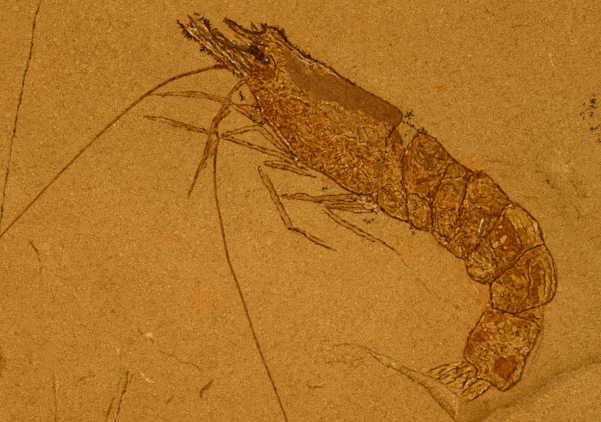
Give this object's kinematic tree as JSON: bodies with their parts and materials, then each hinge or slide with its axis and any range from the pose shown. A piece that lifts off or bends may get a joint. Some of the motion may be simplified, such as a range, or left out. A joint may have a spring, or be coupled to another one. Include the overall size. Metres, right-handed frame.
{
  "type": "fossil shrimp",
  "caption": "Long-tailed fossil shrimp lying on its side in the split face of a flat slab of ochre limestone, with its antennae and legs spread out.",
  "frame": {"origin": "centre of the slab's underside, below the middle of its outline", "axes": "+X along the slab from the head side to the tail side, +Y across it towards the animal's back, +Z out of the face with the fossil"},
  "size_m": [0.15, 0.11, 0.0114],
  "materials": {
    "limestone": "dry, fine-grained ochre limestone, matt",
    "shell": "orange-brown mineralised shell, crumpled, faint sheen, dark brown rims",
    "head_rays": "dark brown stiff rays with ochre stone between them",
    "limb": "thin brown film of pressed shell with darker edges",
    "eye": "black-brown, slightly glossy"
  },
  "bodies": {
    "root": {"slab": "limestone", "carapace": "shell", "eye": "eye", "antennal_scale": "head_rays", "antennules": "head_rays", "antenna_left": "limb", "antenna_lower": "limb", "maxillipeds": "limb", "leg_1_base": "limb", "leg_1_outer": "limb", "leg_2_outer": "limb", "leg_3": "limb", "leg_4": "limb", "leg_5": "limb", "leg_6": "limb", "leg_7": "limb", "leg_8": "limb", "leg_9": "limb", "leg_10": "limb", "pleonite_1": "shell", "pleonite_2": "shell", "pleonite_3": "shell", "pleonite_4": "shell", "pleonite_5": "shell", "pleonite_6": "shell", "uropod_upper_outer": "shell", "uropod_upper_inner": "shell", "telson": "shell", "uropod_lower_inner": "shell", "uropod_lower_outer": "shell"}
  },
  "joints": []
}
